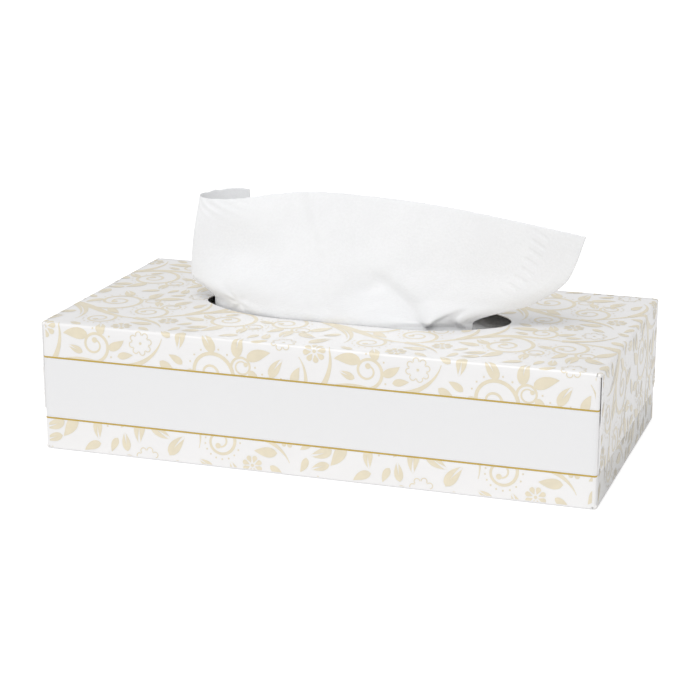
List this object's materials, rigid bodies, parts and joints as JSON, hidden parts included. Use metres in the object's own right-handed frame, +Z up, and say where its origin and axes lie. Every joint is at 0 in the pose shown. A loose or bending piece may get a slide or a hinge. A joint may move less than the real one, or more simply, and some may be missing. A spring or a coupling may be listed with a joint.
{
  "type": "tissue box",
  "caption": "Low rectangular paperboard carton of facial tissues with an oval mouth in its top panel and a tissue standing up through it.",
  "frame": {"origin": "middle of the carton's underside, on the surface it rests on", "axes": "+X along the carton's length, +Y from its front panel to its back panel, +Z up out of the mouth"},
  "size_m": [0.236, 0.122, 0.1061],
  "materials": {
    "carton_board": "printed white board with a glossy coat",
    "tissue_paper": "soft matte two-ply tissue"
  },
  "bodies": {
    "root": {"carton": "carton_board", "tissue_stack": "tissue_paper", "lead_tissue": "tissue_paper", "next_tissue": "tissue_paper"}
  },
  "joints": []
}
